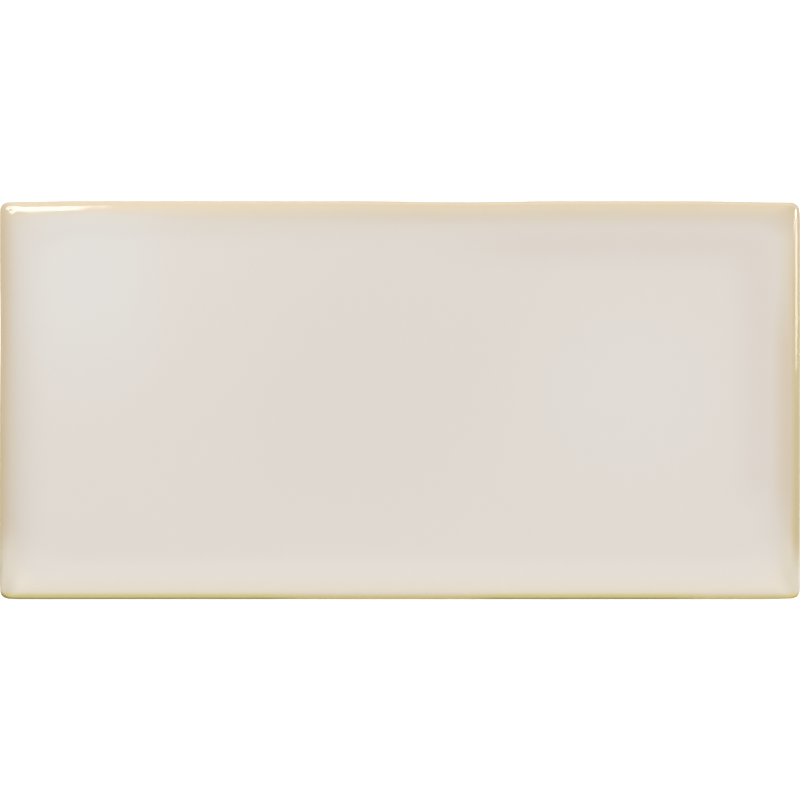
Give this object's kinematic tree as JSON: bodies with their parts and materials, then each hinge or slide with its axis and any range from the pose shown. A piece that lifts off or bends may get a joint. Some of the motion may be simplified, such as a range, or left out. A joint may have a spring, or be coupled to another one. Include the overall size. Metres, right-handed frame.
{
  "type": "subway tile",
  "caption": "Oblong glazed ceramic wall tile with a pillowed face, softened corners and a grooved back that keys into adhesive.",
  "frame": {"origin": "middle of the back, on the plane that the tile lies on", "axes": "+X along the long side, +Y along the short side, +Z out of the glazed face"},
  "size_m": [0.15, 0.075, 0.008],
  "materials": {
    "glaze": "gloss"
  },
  "bodies": {
    "root": {"tile": "glaze"}
  },
  "joints": []
}
